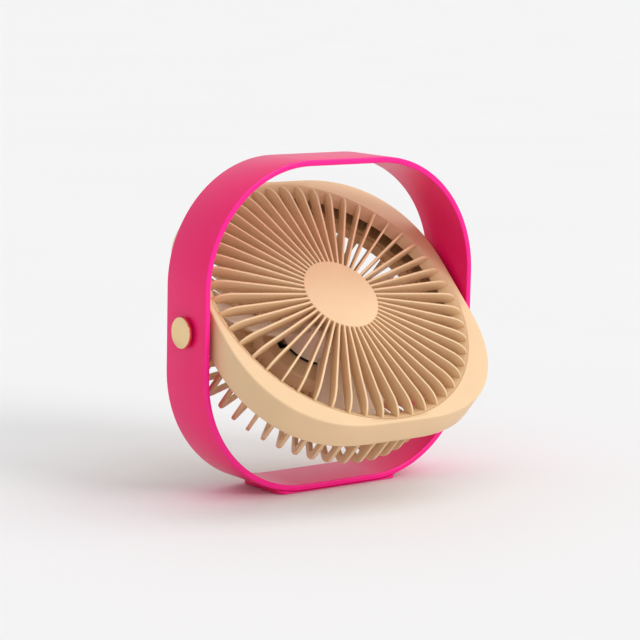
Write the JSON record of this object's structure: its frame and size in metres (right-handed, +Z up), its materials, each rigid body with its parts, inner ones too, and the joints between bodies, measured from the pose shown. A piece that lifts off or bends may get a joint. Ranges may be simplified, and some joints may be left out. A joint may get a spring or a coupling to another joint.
{
  "type": "electric fan",
  "caption": "Small electric fan: a ribbed round-cornered head tilts on two side pivots inside a rounded-square hoop that is both its stand and its carrying handle.",
  "frame": {"origin": "on the floor under the middle of the foot, at the pad's underside", "axes": "+X along the tilt axis, to the right of someone who faces the fan, +Y to the back, +Z up; the head faces -Y and is aimed 46 degrees up at rest"},
  "size_m": [0.208, 0.1624, 0.1986],
  "materials": {
    "pink_plastic": "glossy hot pink",
    "beige_plastic": "satin cream",
    "brass": "brushed pale brass",
    "steel": "bright",
    "nylon": "natural nylon",
    "rubber": "dark grey, matt",
    "battery_wrap": "blue film over the cell",
    "board": "green solder mask",
    "black_plastic": "black, matt",
    "lens": "clear, milky",
    "black_wire": "black insulation",
    "core_steel": "laminated steel, dull",
    "copper": "enamelled copper wire",
    "ferrite": "dark grey magnet"
  },
  "bodies": {
    "stand": {"hoop_frame": "pink_plastic", "base_foot": "pink_plastic", "anti_slip_pad": "rubber", "foot_screw_1": "steel", "foot_screw_2": "steel", "pivot_bush_left": "nylon", "pivot_bush_right": "nylon"},
    "head": {"front_rim": "beige_plastic", "front_grille": "beige_plastic", "rear_housing": "beige_plastic", "rear_cage": "beige_plastic", "rear_cap": "beige_plastic", "housing_screw_1": "steel", "housing_screw_2": "steel", "housing_screw_3": "steel", "housing_screw_4": "steel", "cap_screw_1": "steel", "cap_screw_2": "steel", "cap_screw_3": "steel", "friction_washer_left": "rubber", "friction_washer_right": "rubber", "pivot_knob_left": "brass", "pivot_knob_right": "brass", "battery_cell": "battery_wrap", "control_board": "board", "push_switch": "black_plastic", "charge_socket": "steel", "indicator_lens": "lens", "motor_lead": "black_wire", "motor_base": "nylon", "stator_core": "core_steel", "coil_1": "copper", "coil_2": "copper", "coil_3": "copper", "coil_4": "copper", "coil_5": "copper", "coil_6": "copper", "bearing_front": "steel", "bearing_rear": "steel", "motor_screw_1": "steel", "motor_screw_2": "steel", "motor_screw_3": "steel"},
    "rotor": {"impeller": "beige_plastic", "rotor_yoke": "core_steel", "magnet_ring": "ferrite", "motor_shaft": "steel", "shaft_clip": "steel"},
    "button": {"power_button": "beige_plastic"}
  },
  "joints": [
    {"name": "head_tilt", "type": "hinge", "parent": "stand", "child": "head", "pos_m": [0, 0, 0.0998], "axis": [1, 0, 0], "continuous": true},
    {"name": "impeller_spin", "type": "hinge", "parent": "head", "child": "rotor", "pos_m": [0, 0, 0.0998], "axis": [0, -0.6947, 0.7193], "continuous": true},
    {"name": "power_button", "type": "slide", "parent": "head", "child": "button", "axis": [0, -0.6947, 0.7193], "range_m": [0, 0.0008], "stiffness_N_per_m": 1500}
  ]
}
